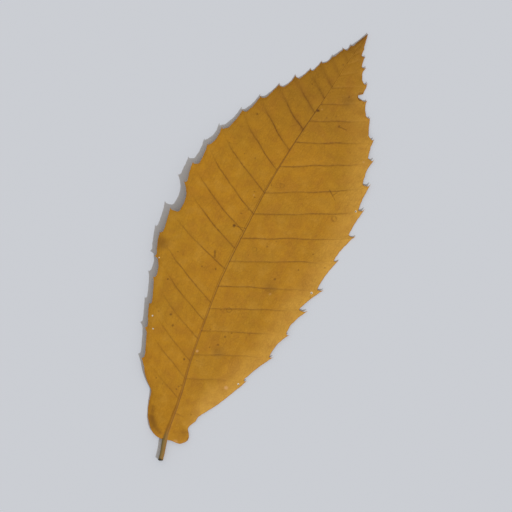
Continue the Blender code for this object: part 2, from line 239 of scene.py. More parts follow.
# Marks on the blade: place, radius and strength
SPOTS = (
    ((-13.9, 92.4), 0.75, 1.0), ((-13.1, 74.6), 0.45, 0.7), ((-27.7, 63.3), 0.45, 0.7),
    ((-20.9, 51.8), 0.5, 0.7), ((-18.4, 48.4), 0.5, 0.7), ((-8.8, 38.7), 0.55, 0.8),
    ((-2.1, 47.0), 0.4, 0.6), ((0.3, 49.1), 0.5, 0.6), ((1.3, 53.1), 0.45, 0.6),
    ((-24.5, 134.4), 0.5, 0.7), ((-4.4, 145.5), 0.75, 1.0), ((5.5, 143.5), 0.6, 0.8),
    ((-3.4, 165.4), 0.5, 0.6), ((4.0, 155.3), 0.45, 0.6), ((-6.3, 28.4), 0.5, 0.7),
    ((-5.6, 29.5), 0.35, 0.6), ((-6.6, 27.2), 0.3, 0.6), ((15.3, 88.0), 0.45, 0.6),
    ((8.8, 81.0), 0.5, 0.6), ((0.8, 90.9), 0.4, 0.5), ((-13.6, 97.8), 0.4, 0.5),
    ((-12.6, 107.4), 0.4, 0.5), ((-11.6, 105.4), 0.35, 0.5),
)
RINGS = (
    ((-1.7, 62.8), 0.9, 0.4), ((19.0, 111.2), 0.9, 0.4), ((-4.2, 113.9), 0.8, 0.35),
    ((-3.0, 87.7), 0.8, 0.35), ((8.0, 157.5), 1.3, 0.9),
)
PATCHES = (
    ((1.5, 46.7), 3.0, 0.35), ((8.6, 77.1), 3.2, 0.35), ((-35.7, 74.6), 3.2, 0.45),
    ((4.4, 153.7), 3.0, 0.35), ((3.3, 13.4), 2.0, 0.25), ((-6.6, 136.2), 1.2, 0.3),
    ((5.9, 12.0), 1.1, 0.6),
)
PALE_SPOTS = (
    ((10.1, 35.9), 0.9, 0.9), ((19.7, 135.6), 0.6, 0.6), ((-5.8, 43.6), 0.6, 0.8),
    ((9.6, 75.1), 0.6, 0.35), ((-12.2, 106.2), 0.5, 0.3), ((-3.2, 146.6), 0.45, 0.3),
    ((1.8, 8.7), 1.3, 0.6),
)
# Dark lines: both ends, half the width and the strength
STROKES = (
    ((12.8, 120.3), (16.2, 117.8), 0.14, 0.6), ((14.6, 119.0), (15.6, 120.6), 0.12, 0.5),
    ((-13.9, 92.4), (-9.7, 93.4), 0.12, 0.6), ((5.5, 143.5), (8.6, 143.6), 0.14, 0.6),
    ((-16.3, 80.6), (-15.3, 78.6), 0.3, 0.6),
)
# Soft brown crescent of the left lobe, in the same way
LOBE_CRESCENT = (
    ((-11.6, 17.4), (-10.4, 13.6), 0.6, 0.35), ((-10.4, 13.6), (-8.0, 11.0), 0.95, 0.55),
    ((-8.0, 11.0), (-5.3, 9.8), 0.7, 0.4),
)

# View of the photograph, which looks straight down on the leaf
VIEW_CENTRE = (-1.46, 85.72)
VIEW_TURN = math.radians(25.885)
VIEW_WIDTH = 194.2
CAMERA_HEIGHT = 1.2        # in metres
SENSOR_WIDTH = 36.0
SUN_COLOUR = (0.91, 1.0, 1.11)
SKY_COLOUR = (1.07, 1.0, 0.92, 1.0)
FLOOR_HALF = 3.0           # half the floor's side, in metres
FLOOR_GAP = 0.1 * MM       # how far it is below the leaf, so that the two don't coincide


def mix(a, b, share):
    return a + (b - a) * share


def smoothstep(edge0, edge1, value):
    share = min(max((value - edge0) / (edge1 - edge0), 0.0), 1.0)
    return share * share * (3.0 - 2.0 * share)


def linear(red, green, blue):
    """A colour picked on screen, 0 to 255, as the shader's linear colour."""
    values = (value / 255.0 for value in (red, green, blue))
    return tuple(value / 12.92 if value <= 0.04045 else ((value + 0.055) / 1.055) ** 2.4
                 for value in values)


def in_mm(name, description, millimetres):
    return FloatProperty(name=name, description=description, default=millimetres * MM,
                         unit="LENGTH", precision=5)


def shade(name, description, red, green, blue):
    return FloatVectorProperty(name=name, description=description,
                               default=linear(red, green, blue), subtype="COLOR", size=3,
                               min=0.0, max=1.0)


def power(name, description, default):
    return FloatProperty(name=name, description=description, default=default, min=0.0)


def in_degrees(name, description, degrees):
    return FloatProperty(name=name, description=description, default=math.radians(degrees),
                         subtype="ANGLE")


class LeafSizes(bpy.types.PropertyGroup):
    """Sizes of the fine leaf, in metres."""

    thickness: in_mm("Blade thickness", "Thickness of the blade between its veins", 0.35)
    vein_depth: in_mm("Side vein depth", "How far a side vein stands below the blade", 0.42)
    vein_groove: in_mm("Side vein groove", "Depth of the groove above a side vein", 0.08)
    midrib_ridge: in_mm("Midrib ridge", "Rise of the midrib above the blade", 0.12)
    quilting: in_mm("Quilting", "Rise of the blade between two side veins", 0.22)
    edge_wave: in_mm("Edge wave", "Rise and fall of the edge from tooth to tooth", 0.16)
    crinkle: in_mm("Crinkle", "Random rise and fall of the dry blade", 0.2)


class LeafColours(bpy.types.PropertyGroup):
    """Colours of the leaf and its stage."""

    ochre: shade("Ochre", "Main colour of the blade", 203, 142, 32)
    # Golden also paints the light on the lower right margin.
    golden: shade("Golden", "Paler margin of the blade", 222, 166, 66)
    # Umber also paints the shade towards the tip.
    umber: shade("Umber", "Darker part of the blade, towards the tip", 178, 126, 34)
    olive: shade("Olive", "Greenish tinge in the blade", 190, 141, 35)
    # Vein brown also paints the shade along the side veins and beside the midrib.
    vein: shade("Vein brown", "Lines of the veins on the upper face", 112, 70, 28)
    midrib: shade("Midrib", "Band of the midrib near the base", 158, 104, 40)
    rim: shade("Rim", "Edge of the blade and its bristles", 172, 106, 40)
    spot: shade("Spot brown", "Spots, rings and fine dark lines", 92, 54, 26)
    pale: shade("Pale spot", "Pale spots of the blade", 222, 168, 104)
    # Painted light: the bright floor seen through the pinholes.
    hole_light: shade("Hole_light", "Thin rims of the pinholes", 240, 228, 206)
    straw: shade("Straw", "Duller underside of the blade", 188, 148, 86)
    under_vein: shade("Underside vein", "Raised veins of the underside", 160, 116, 60)
    stem: shade("Stem", "Bark of the stem", 152, 120, 66)
    stem_green: shade("Stem green", "Greener flank of the stem", 128, 116, 70)
    stem_end: shade("Stem end", "Cut end of the stem", 66, 54, 34)
    floor: shade("Floor", "Pale floor under the leaf", 227, 230, 236)


class StageSettings(bpy.types.PropertyGroup):
    """Light on the stage."""

    sun_strength: power("Sun strength", "Strength of the main light", 1.51)
    sun_elevation: in_degrees("Sun elevation", "Height of the main light above the floor", 44.0)
    sun_azimuth: in_degrees("Sun azimuth", "Direction of the main light, turned from +X", -23.6)
    sun_softness: in_degrees("Sun softness", "Angle that the main light fills", 1.2)
    fill_strength: power("Fill strength", "Strength of the even light", 0.4425)


def spline(points, at):
    """A smooth curve through points, read at a place counted in points."""
    last = len(points) - 1
    start = min(max(int(at), 0), last - 1)
    share = at - start
    before, a, b, after = (
        Vector(points[min(max(start + step, 0), last)]) for step in (-1, 0, 1, 2))
    slope_a = (b - before) * 0.5
    slope_b = (after - a) * 0.5
    square, cube = share * share, share * share * share
    return (a * (2 * cube - 3 * square + 1) + slope_a * (cube - 2 * square + share)
            + b * (3 * square - 2 * cube) + slope_b * (cube - square))


def along(table, y):
    """The first value of a (value, y) table at y, on a smooth curve."""
    last = len(table) - 1
    for row in range(last):
        if y <= table[row + 1][1] or row == last - 1:
            share = (y - table[row][1]) / (table[row + 1][1] - table[row][1])
            return spline(table, row + min(max(share, 0.0), 1.0)).x


def foot(station):
    """The y at which a line leaves the midrib."""
    share = station / STATIONS
    share += CROWDING * share * (1.0 - share)
    return mix(BLADE_BASE, LEAF_LENGTH, share)


def station_near(y):
    share = (y - BLADE_BASE) / (LEAF_LENGTH - BLADE_BASE)
    rise = 1.0 + CROWDING
    return round(STATIONS * (rise - math.sqrt(rise * rise - 4.0 * CROWDING * share))
                 / (2.0 * CROWDING))


def bow(start, middle, end, share):
    """A curve with one bow, from start to end, pulled towards middle."""
    rest = 1.0 - share
    return start * rest ** 2 + middle * (2 * share * rest) + end * share ** 2


def long_edge(tooth, share):
    """The long edge of a tooth, through its middle point."""
    notch, middle, tip = (Vector(point) for point in tooth[1:])
    return bow(notch, middle * 2.0 - (notch + tip) * 0.5, tip, share)


class Tooth:
    """One tooth of the edge: its blunt body and the bristle on its corner."""

    def __init__(self, tooth, notch, side, cut):
        self.edge = tooth
        self.notch = Vector(notch)
        self.hollow = cut["hollow"]
        tip = Vector(tooth[3])
        self.upwards = (tip - long_edge(tooth, 0.9)).normalized()
        turn = self.upwards.dot((self.notch - tip).normalized()) if self.notch != tip else 1.0
        sharp = 1.0 - smoothstep(*BLUNT_TURN, turn)
        length = cut["bristle"] * sharp
        self.body = 1.0 - length / (tip - Vector(tooth[1])).length
        outwards = Vector((self.upwards.y, -self.upwards.x)) * side
        self.bristle = tip - self.long(1.0) + outwards * (cut["spur"] * (1.0 - sharp))

    def long(self, share):
        return long_edge(self.edge, share * self.body)

    def short(self, share):
        """From the corner, in a hollow, to the next notch."""
        corner = self.long(1.0)
        hollow = corner.lerp(self.notch, HOLLOW_PLACE)
        hollow -= self.upwards * (self.hollow * (self.notch - corner).length)
        return bow(corner, hollow, self.notch, share)


def edge_lines(lobe, rows, side, cut):
    """For each station its point on the edge and its phase, and for each vein its bristle."""
    notches = [row[1] for row in rows[1:]] + [rows[-1][3]]
    teeth = [Tooth(row, notch, side, cut) for row, notch in zip(rows, notches)]
    lines = {}
    vein = 0
    bristles = {}
    for number, tooth in enumerate(teeth):
        vein_foot = rows[number][0]
        if number == 0:
            first = station_near(mix(BLADE_BASE, vein_foot, 1.0 - NOTCH_SHARE))
            for station in range(first + 1):
                share = station / first
                lines[station] = (spline(lobe, share * (len(lobe) - 1)), share - 1.0)
        else:
            first = station_near(mix(rows[number - 1][0], vein_foot, NOTCH_SHARE))
            for station in range(vein + 1, first + 1):
                share = (station - vein) / (first - vein)
                phase = number - 1 + NOTCH_SHARE * share
                lines[station] = (teeth[number - 1].short(share), phase)
        vein = station_near(vein_foot)
        start = lines[first][1]
        for station in range(first + 1, vein + 1):
            share = (station - first) / (vein - first)
            lines[station] = (tooth.long(share), mix(start, number, share))
        bristles[vein] = tooth.bristle
    del bristles[vein]
    return lines, bristles


def stray(place, scale, level):
    """A random step in the plane, which changes with the place; each level has its own."""
    return noise.noise_vector((place.x * scale, place.y * scale, level)).xy


def wear(edge, corners):
    """Smooth an edge a little, roughen it between its corners, and cut out the bites."""
    last = len(edge) - 1
    kept = {0, last} | {corner + step for corner in corners for step in (-1, 0, 1)}
    smooth = [point if station in kept else
              edge[station - 1] * 0.25 + point * 0.5 + edge[station + 1] * 0.25
              for station, point in enumerate(edge)]
    worn = []
    for station, point in enumerate(smooth):
        rough = stray(point, *EDGE_GRAIN) * EDGE_ROUGHNESS
        rough *= min((last - station) / SMOOTH_TIP, 1.0)
        place = point if station in kept else point + rough
        for middle, radius in BITES:
            offset = place - Vector(middle)
            if offset.length < radius:
                place = Vector(middle) + offset.normalized() * radius
        worn.append(place)
    return worn


def line_point(start, end, leave, arrive, wave, share):
    """A point on the bent line from the midrib to the edge."""
    chord = end - start
    lift = Vector((-chord.y, chord.x)) * (wave * math.sin(math.pi * share) ** 2)
    first = start + Matrix.Rotation(-leave, 2) @ chord * LEAVE_REACH
    second = end - Matrix.Rotation(arrive, 2) @ chord * ARRIVE_REACH
    rest = 1.0 - share
    return (start * rest ** 3 + first * (3 * rest * rest * share)
            + second * (3 * rest * share * share) + end * share ** 3 + lift)


def sway(place, share, length):
    """Move a point of a line a little, so that no side vein is straight."""
    drift = stray(place, *SWAY_GRAIN)
    drift *= smoothstep(*SWAY_LENGTHS, length)
    return place + drift * (VEIN_SWAY * math.sin(math.pi * share))


def row_shares(length, radius):
    """Shares of a line at which its rows stand: close beside the midrib and at the edge."""
    near = min(RIB_REACH * radius / max(length, radius), LONGEST_REACH)
    shares = [near * row / RIB_ROWS for row in range(RIB_ROWS + 1)]
    for row in range(1, BLADE_ROWS + 1):
        rest = (1.0 - row / BLADE_ROWS) ** EDGE_CROWDING
        shares.append(mix(near, 1.0, 1.0 - rest))
    return shares


class Trace:
    """A line on the leaf, to measure how far a place is from it."""

    def __init__(self, points, step=0.1):
        fine = []
        for start, end in zip(points, points[1:]):
            count = max(int((end - start).length / step), 1)
            fine += [start.lerp(end, number / count) for number in range(count)]
        fine.append(points[-1])
        self.tree = KDTree(len(fine))
        for number, point in enumerate(fine):
            self.tree.insert(point.to_3d(), number)
        self.tree.balance()

    def distance(self, place):
        return self.tree.find(place.to_3d())[2]


class Half:
    """One half of the blade: its lines, its side veins and the height of its edge."""

    def __init__(self, side, lobe, teeth, bends, edge_height, cut):
        self.edge_height = edge_height
        lines, bristles = edge_lines(lobe, teeth, side, cut)
        self.veins = list(bristles)
        stations = range(STATIONS + 1)
        self.phases = [lines[station][1] for station in stations]
        edge = wear([lines[station][0] for station in stations], self.veins)
        self.places = []
        for station in stations:
            start = Vector((along(MIDRIB, foot(station)), foot(station)))
            end = edge[station]
            in_lobe = min(max(self.phases[station] + 1.0, 0.0), 1.0)
            risen = smoothstep(bends["from"], bends["to"], foot(station))
            bend = [mix(low, high, risen) * side * in_lobe
                    for low, high in zip(bends["base"], bends["tip"])]
            length = (end - start).length
            shares = row_shares(length, along(MIDRIB_RADIUS, foot(station)))
            self.places.append([sway(line_point(start, end, *bend, share), share, length)
                                for share in shares])
        self.draw_to_veins()
        self.grow_bristles(bristles)

    def grow_bristles(self, bristles):
        """Draw the ends of the lines beside each vein out into a bristle."""
        for vein, bristle in bristles.items():
            for step, share in BRISTLE_LINES:
                line = self.places[vein + step]
                end = line[-1].copy()
                for row in range(ROWS + 1):
                    inside = (end - line[row]).length
                    line[row] = line[row] + bristle * (
                        share * smoothstep(BRISTLE_DEPTH, 0.0, inside))

    def draw_to_veins(self):
        """Crowd the lines beside each side vein, so that its relief is sharp."""
        for vein in self.veins:
            for step in range(1, VEIN_CLUSTER + 1):
                for station in (vein - step, vein + step):
                    for row in range(ROWS):
                        draw = VEIN_DRAW * (1.0 - step / (VEIN_CLUSTER + 1))
                        draw *= 1.0 - (row / ROWS) ** 2
                        place = self.places[station][row]
                        self.places[station][row] = place.lerp(self.places[vein][row], draw)

    def vein_distance(self, station, row):
        """From a point of the grid to the nearest side vein, in millimetres."""
        place = self.places[station][row]
        nearest = FAR
        for vein in self.veins:
            if abs(vein - station) > VEIN_WINDOW:
                continue
            line = self.places[vein]
            before, after = line[max(row - 1, 0)], line[min(row + 1, ROWS)]
            run = (after - before).normalized()
            offset = place - line[row]
            nearest = min(nearest, abs(offset.x * run.y - offset.y * run.x))
        return nearest


def leaf_halves():
    """Both halves of the blade, by side: -1 is the left one."""
    noise.seed_set(NOISE_SEED)
    return {-1: Half(-1, LEFT_LOBE, LEFT_TEETH, LEFT_BENDS, LEFT_HEIGHT, LEFT_CUT),
            1: Half(1, RIGHT_LOBE, RIGHT_TEETH, RIGHT_BENDS, RIGHT_HEIGHT, RIGHT_CUT)}


def vein_rib(distance, depth, half_width):
    """Depth of a half-round rib at a distance from its middle."""
    share = distance / half_width
    return depth * math.sqrt(1.0 - share * share) if share < 1.0 else 0.0


def broad_height(half, station, place, share, mid, sizes):
    """The solid's upper face, with its quilting and waves, and this leaf's crinkles."""
    line, phase = half.places[station], half.phases[station]
    top = mix(along(MIDRIB_HEIGHT, foot(station)), along(half.edge_height, line[-1].y),
              share ** HEIGHT_EASE)
    top += sizes["quilting"] * math.sin(math.pi * share) * math.sin(math.pi * (phase % 1.0))
    top += sizes["edge_wave"] * share ** 3 * math.sin(2 * math.pi * phase)
    crinkle = sum(height * noise.noise((place.x * scale, place.y * scale, level))
                  for scale, height, level in CRINKLES)
    spread = smoothstep(0.0, CRINKLE_LENGTH, (line[-1] - line[0]).length)
    return top + sizes["crinkle"] * crinkle * spread * smoothstep(0.0, CRINKLE_START, mid)


def midrib_relief(y, radius, mid, ridge):
    """Rise of the upper face at the midrib: a ridge, and a shallow trough on each side."""
    low = smoothstep(RIDGE_BASE, BLADE_BASE, y)
    width = mix(*RIDGE_WIDTHS, low) * radius
    rise = ridge * mix(*RIDGE_HEIGHTS, low) * math.exp(-(mid / width) ** 2)
    beside = (mid - mix(*TROUGH_PLACES, low) * radius) / (TROUGH_WIDTH * radius)
    return rise - TROUGH_DEPTH * ridge * math.exp(-beside ** 2)


def blade_heights(half, station, row, vein, edge, mid, sizes):
    """Heights of the upper face and the underside at one point of the blade."""
    line = half.places[station]
    place, y = line[row], foot(station)
    radius = along(MIDRIB_RADIUS, y)
    share = min((place - line[0]).length / max((line[-1] - line[0]).length, 0.001), 1.0)
    top = broad_height(half, station, place, share, mid, sizes)
    reach = min((place - Vector(spot)).length for spot in REST_SPOTS)
    free = smoothstep(REST_SPOT_RADIUS, REST_SPOT_FADE, reach)
    level = max(top - SOLID_THICKNESS, 0.0)
    under = level * free
    inside = smoothstep(0.0, THIN_WIDTH, edge)
    upper = level + sizes["thickness"] * mix(EDGE_THINNESS, 1.0, inside)
    relief = (1.0 - VEIN_TAPER * share) * smoothstep(0.0, VEIN_END, edge)
    upper -= sizes["vein_groove"] * relief * math.exp(-(vein / GROOVE_WIDTH) ** 2)
    upper += midrib_relief(y, radius, mid, sizes["midrib_ridge"])
    rib = vein_rib(vein, sizes["vein_depth"] * relief, mix(*VEIN_WIDTHS, share))
    if mid < radius:
        bottom = along(MIDRIB_HEIGHT, y) - (1.0 + RIB_SINK) * radius
        keel = math.sqrt(1.0 - (mid / radius) ** 2)
        rib = max(rib, (under - bottom) * keel)
    return upper, max(under - rib * free, 0.0)


def bark(y, mid):
    """How much of the stem's own colour the midrib has at its base, from 0 to 1."""
    return (1.0 - smoothstep(*BARK_LENGTH, y)) * (1.0 - smoothstep(*BARK_WIDTH, mid))


def plain_sizes(context):
    """The leaf's sizes, in millimetres."""
    group = context.scene.chestnut_sizes
    return {name: getattr(group, name) / MM for name in LeafSizes.__annotations__}


def shift_to_frame():
    """From the leaf's own layout to the frame, in millimetres."""
    low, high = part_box("leaf")
    leftmost = min(tooth[3][0] for tooth in LEFT_TEETH)
    return Vector((low.x / MM - leftmost, high.y / MM - LEAF_LENGTH, 0.0))


def pierce(bm, places):
    """Open a small hole in the sheet at each place, round with three faint corners."""
    for place, radius in places:
        middle = Vector(place) * MM
        heart = min(bm.verts, key=lambda vert: (vert.co.xy - middle).length_squared)
        around = {vert for face in heart.link_faces for vert in face.verts} - {heart}
        centre = heart.co.copy()
        turns = {vert: math.atan2(vert.co.y - centre.y, vert.co.x - centre.x) for vert in around}
        ring = sorted(around, key=turns.get)
        for number, vert in enumerate(ring):
            angle = turns[ring[0]] + 2.0 * math.pi * number / len(ring)
            size = radius * MM * (1.0 + 0.2 * math.sin(3.0 * angle + place[0]))
            vert.co.x = centre.x + math.cos(angle) * size
            vert.co.y = centre.y + math.sin(angle) * size
        bmesh.ops.delete(bm, geom=[heart], context="VERTS")


def measure(halves, sizes):
    """For each point of the grid: its place with both heights, and its distances."""
    midrib = Trace([half_line[0] for half_line in halves[1].places])
    points = {}
    for side, half in halves.items():
        edge_trace = Trace([line[-1] for line in half.places])
        for station, line in enumerate(half.places):
            for row, place in enumerate(line):
                vein = half.vein_distance(station, row)
                edge = edge_trace.distance(place)
                mid = 0.0 if row == 0 else midrib.distance(place)
                upper, under = blade_heights(half, station, row, vein, edge, mid, sizes)
                points[station, side * row] = (place, upper, under, vein, edge, side * mid)
    return points


def float_layers(bm):
    """The values that each point carries, for its thickness and for the finish."""
    return [bm.verts.layers.float.new(name)
            for name in ("drop", "vein", "edge", "across", "upper", "stem")]


def finished(bm, name):
    """Turn a bmesh into a mesh."""
    mesh = bpy.data.meshes.new(name)
    bm.to_mesh(mesh)
    bm.free()
    return mesh


def blade_mesh(halves, sizes):
    """A grid laid over the leaf, split into triangles and then given its thickness."""
    points = measure(halves, sizes)
    bm = bmesh.new()
    bmesh.ops.create_grid(bm, x_segments=2 * ROWS, y_segments=STATIONS, size=1.0)
    drop, vein_layer, edge_layer, across, upper_layer, stem_layer = float_layers(bm)
    whole = bm.verts.layers.int
    row_layer, station_layer = whole.new("row"), whole.new("station")
    for vert in bm.verts:
        row = round(vert.co.x * ROWS)
        station = round((vert.co.y + 1.0) * 0.5 * STATIONS)
        place, upper, under, vein, edge, mid = points[station, row]
        vert.co = Vector((place.x, place.y, upper)) * MM
        vert[drop] = (upper - under) * MM
        vert[vein_layer], vert[edge_layer], vert[across] = vein, edge, mid
        vert[upper_layer], vert[stem_layer] = 1.0, bark(place.y, abs(mid))
        vert[row_layer], vert[station_layer] = row, station
    bmesh.ops.remove_doubles(bm, verts=bm.verts[:], dist=MERGE)
    pierce(bm, PINHOLES)
    bmesh.ops.triangulate(bm, faces=bm.faces[:])
    sheet = bmesh.ops.extrude_face_region(bm, geom=bm.faces[:])
    for vert in sheet["geom"]:
        if isinstance(vert, bmesh.types.BMVert):
            vert.co.z -= vert[drop]
            vert[upper_layer] = 0.0
    bmesh.ops.recalc_face_normals(bm, faces=bm.faces[:])
    lay_net(bm, halves, row_layer, station_layer)
    return finished(bm, "leaf_fine")


def lay_net(bm, halves, row_layer, station_layer):
    """A UV map that follows the lines: millimetres out from the midrib, and along it."""
    net = bm.loops.layers.uv.new("net")
    for face in bm.faces:
        rows = [vert[row_layer] for vert in face.verts]
        side = 1 if sum(rows) > 0 else -1
        half = halves[side]
        for loop in face.loops:
            station, row = loop.vert[station_layer], abs(loop.vert[row_layer])
            line, rise = half.places[station], foot(station) - LOBE_TOP
            rise = min(rise, rise * LOBE_SPREAD)
            loop[net].uv = ((line[row] - line[0]).length, rise + HALVES_APART * side)


def stem_point(y, angle):
    """A point on the stem, at an angle round it: 0 is its right side, a quarter turn its top."""
    sunk = smoothstep(STEM_SINK, STEM_REACH, y)
    radius = along(MIDRIB_RADIUS, y)
    run = Vector((along(MIDRIB, y + 0.5) - along(MIDRIB, max(y - 0.5, 0.0)), 1.0)).normalized()
    side = Vector((run.y, -run.x, 0.0))
    centre = Vector((along(MIDRIB, y), y, along(MIDRIB_HEIGHT, y) - RIB_SINK * radius))
    size = radius * (1.0 - STEM_TAPER * sunk)
    size *= 1.0 + STEM_BUMPS * noise.noise((angle * 0.8, y * 0.6, 9.0))
    furrow, half_width = STEM_FURROW
    size *= 1.0 - furrow * math.exp(-((angle - 0.5 * math.pi) / half_width) ** 2)
    place = centre + (side * math.cos(angle) + Vector((0.0, 0.0, math.sin(angle)))) * size
    lean, lean_top = STEM_LEAN
    place.x -= lean * smoothstep(lean_top, 0.0, y)
    slant, slant_top = CUT_SLANT
    place.y += slant * (0.5 + 0.5 * math.cos(angle)) * smoothstep(slant_top, 0.0, y)
    return place


def hollow_out(bm, cut):
    """Press the middle of the cut end in, inside two narrow rings."""
    for depth in (0.0, CUT_HOLLOW):
        bmesh.ops.inset_region(bm, faces=[cut], thickness=CUT_RIM * MM, depth=-depth * MM,
                               use_even_offset=True)


def stem_mesh():
    """The stem: a grid rolled up along the midrib's line, with a cut end."""
    bm = bmesh.new()
    bmesh.ops.create_grid(bm, x_segments=STEM_SIDES, y_segments=STEM_RINGS, size=1.0)
    _, vein_layer, edge_layer, across, upper_layer, stem_layer = float_layers(bm)
    for vert in bm.verts:
        angle = math.pi * (vert.co.x + 1.0)
        y = STEM_REACH * (vert.co.y + 1.0) * 0.5
        vert.co = stem_point(y, angle) * MM
        vert[vein_layer] = vert[edge_layer] = FAR
        vert[across] = along(MIDRIB_RADIUS, y) * math.cos(angle)
        vert[upper_layer] = 0.5 + 0.5 * math.sin(angle)
        vert[stem_layer] = bark(y, 0.0)
    bmesh.ops.remove_doubles(bm, verts=bm.verts[:], dist=MERGE)
    open_edges = [edge for edge in bm.edges if edge.is_boundary]
    caps = bmesh.ops.holes_fill(bm, edges=open_edges, sides=0)["faces"]
    hollow_out(bm, min(caps, key=lambda face: face.calc_center_median().y))
    bmesh.ops.triangulate(bm, faces=bm.faces[:])
    bmesh.ops.recalc_face_normals(bm, faces=bm.faces[:])
    return finished(bm, "stem")


def add_object(name, data):
    thing = bpy.data.objects.new(name, data)
    bpy.context.scene.collection.objects.link(thing)
    return thing


def unite(leaf, stem):
    """Join the stem's mesh to the leaf as one closed body."""
    rod = add_object("stem", stem)
    union = leaf.modifiers.new("stem", "BOOLEAN")
    union.operation = "UNION"
    union.solver = "MANIFOLD"
    union.object = rod
    bpy.context.view_layer.update()
    joined = bpy.data.meshes.new_from_object(leaf.evaluated_get(
        bpy.context.evaluated_depsgraph_get()))
    leaf.modifiers.clear()
    leaf.data = joined
    bpy.data.objects.remove(rod, do_unlink=True)


class Socket:
    """A socket of a shader, for sums that are written as Python."""

    def __init__(self, shader, output):
        self.shader = shader
        self.output = output

    def sum(self, operation, *values):
        return self.shader.node("ShaderNodeMath", {"operation": operation},
                                dict(enumerate(values)))

    def __add__(self, other):
        return self.sum("ADD", self, other)

    def __sub__(self, other):
        return self.sum("SUBTRACT", self, other)

    def __rsub__(self, other):
        return self.sum("SUBTRACT", other, self)

    def __mul__(self, other):
        return self.sum("MULTIPLY", self, other)

    def __truediv__(self, other):
        return self.sum("DIVIDE", self, other)

    def __rtruediv__(self, other):
        return self.sum("DIVIDE", other, self)

    __radd__ = __add__
    __rmul__ = __mul__

    def larger(self, other):
        return self.sum("MAXIMUM", self, other)

    def size(self):
        return self.sum("ABSOLUTE", self)


class Shader:
    """The node tree of one material."""

    def __init__(self, name):
        self.material = bpy.data.materials.new(name)
        self.material.use_nodes = True
        self.tree = self.material.node_tree
        self.surface = self.tree.nodes["Principled BSDF"]

    def plug(self, socket, value):
        """Link or set one input."""
        if isinstance(value, Socket):
            self.tree.links.new(value.output, socket)
        else:
            socket.default_value = value

    def node(self, kind, settings, inputs, output=0):
        """Add a node: first its settings, then the values or links of its sockets."""
        node = self.tree.nodes.new(kind)
        for name, value in settings.items():
            setattr(node, name, value)
        for name, value in inputs.items():
            self.plug(node.inputs[name], value)
        return Socket(self, node.outputs[output])

    def feed(self, name, value):
        """Link or set a socket of the surface."""
        self.plug(self.surface.inputs[name], value)

    def attribute(self, name):
        return self.node("ShaderNodeAttribute", {"attribute_name": name}, {}, "Fac")

    def ramp(self, value, start, end, low=0.0, high=1.0, kind="SMOOTHSTEP"):
        """From low at start to high at end, eased at both unless another kind is asked for."""
        return self.node("ShaderNodeMapRange", {"interpolation_type": kind}, {
            "Value": value, "From Min": start, "From Max": end, "To Min": low, "To Max": high})

    def fall(self, value, start, end):
        """From 1 at start to 0 at end, eased at both."""
        return self.ramp(value, start, end, 1.0, 0.0)

    def blend(self, share, first, second):
        """Mix two colours."""
        return self.node("ShaderNodeMix", {"data_type": "RGBA"},
                         {0: share, 6: first, 7: second}, 2)

    def vector(self, operation, inputs, output=0):
        return self.node("ShaderNodeVectorMath", {"operation": operation}, inputs, output)

    def noise(self, place, scale, detail=2.0, roughness=0.5):
        """Noise from about 0 to 1, with features about 1 / scale across."""
        return self.node("ShaderNodeTexNoise", {}, {
            "Vector": place, "Scale": scale, "Detail": detail, "Roughness": roughness}, "Fac")

    def cells(self, place, scale, feature, output, randomness=1.0):
        """Random cells, about 1 / scale across: the wanted output of one of their features."""
        return self.node("ShaderNodeTexVoronoi", {"feature": feature}, {
            "Vector": place, "Scale": scale, "Randomness": randomness}, output)


def strongest(masks):
    """The largest of some masks at each point."""
    return reduce(Socket.larger, masks)


def opaque(colour):
    return (*colour, 1.0)


